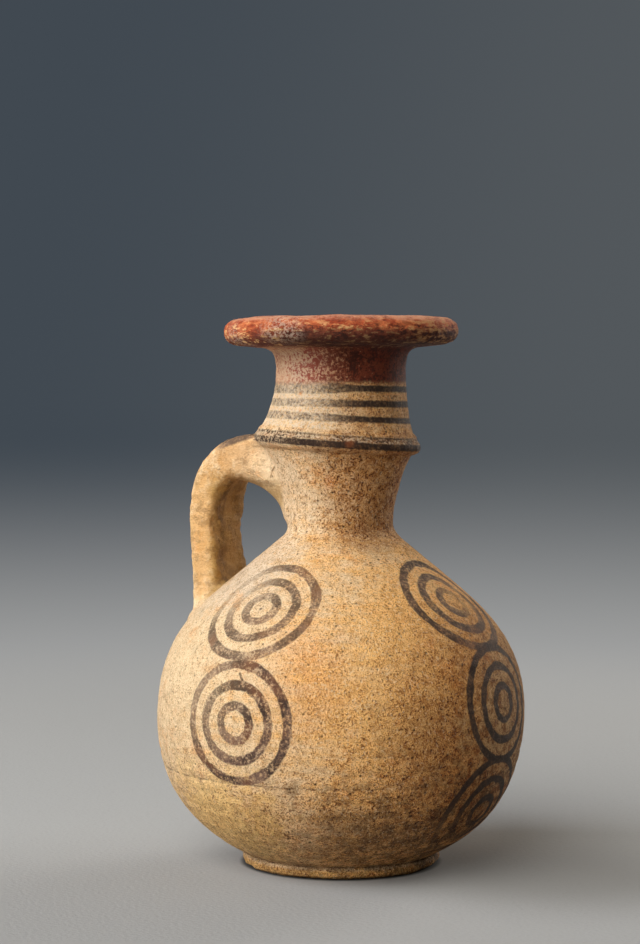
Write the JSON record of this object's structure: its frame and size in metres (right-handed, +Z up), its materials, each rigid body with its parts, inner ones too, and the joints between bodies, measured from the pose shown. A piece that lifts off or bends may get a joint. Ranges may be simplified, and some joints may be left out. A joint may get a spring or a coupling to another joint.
{
  "type": "handle-ridge juglet",
  "caption": "Small wheel-thrown clay juglet with a globular body, disc foot, ridged neck, broad disc rim and strap handle, painted with concentric circles, for keeping and pouring oil.",
  "frame": {"origin": "centre of the foot's flat underside, on the vessel's turning axis", "axes": "+Z up along the turning axis, -X towards the strap handle, so the handle lies in the XZ plane"},
  "size_m": [0.074, 0.074, 0.1097],
  "materials": {
    "buff_clay": "matt unglazed buff clay with fine grits",
    "circle_painted_clay": "matt unglazed buff clay with worn black-brown concentric circles",
    "banded_clay": "matt buff clay with a red slip above and thin black-brown lines below",
    "red_slip": "matt worn red slip",
    "black_paint": "matt black-brown paint, worn pale along the top edge"
  },
  "bodies": {
    "root": {"foot_disc": "buff_clay", "body": "circle_painted_clay", "lower_neck": "buff_clay", "neck_ridge": "black_paint", "upper_neck": "banded_clay", "rim_disc": "red_slip", "handle_strap": "buff_clay", "handle_root_wad": "buff_clay", "handle_base_wad": "buff_clay"}
  },
  "joints": []
}
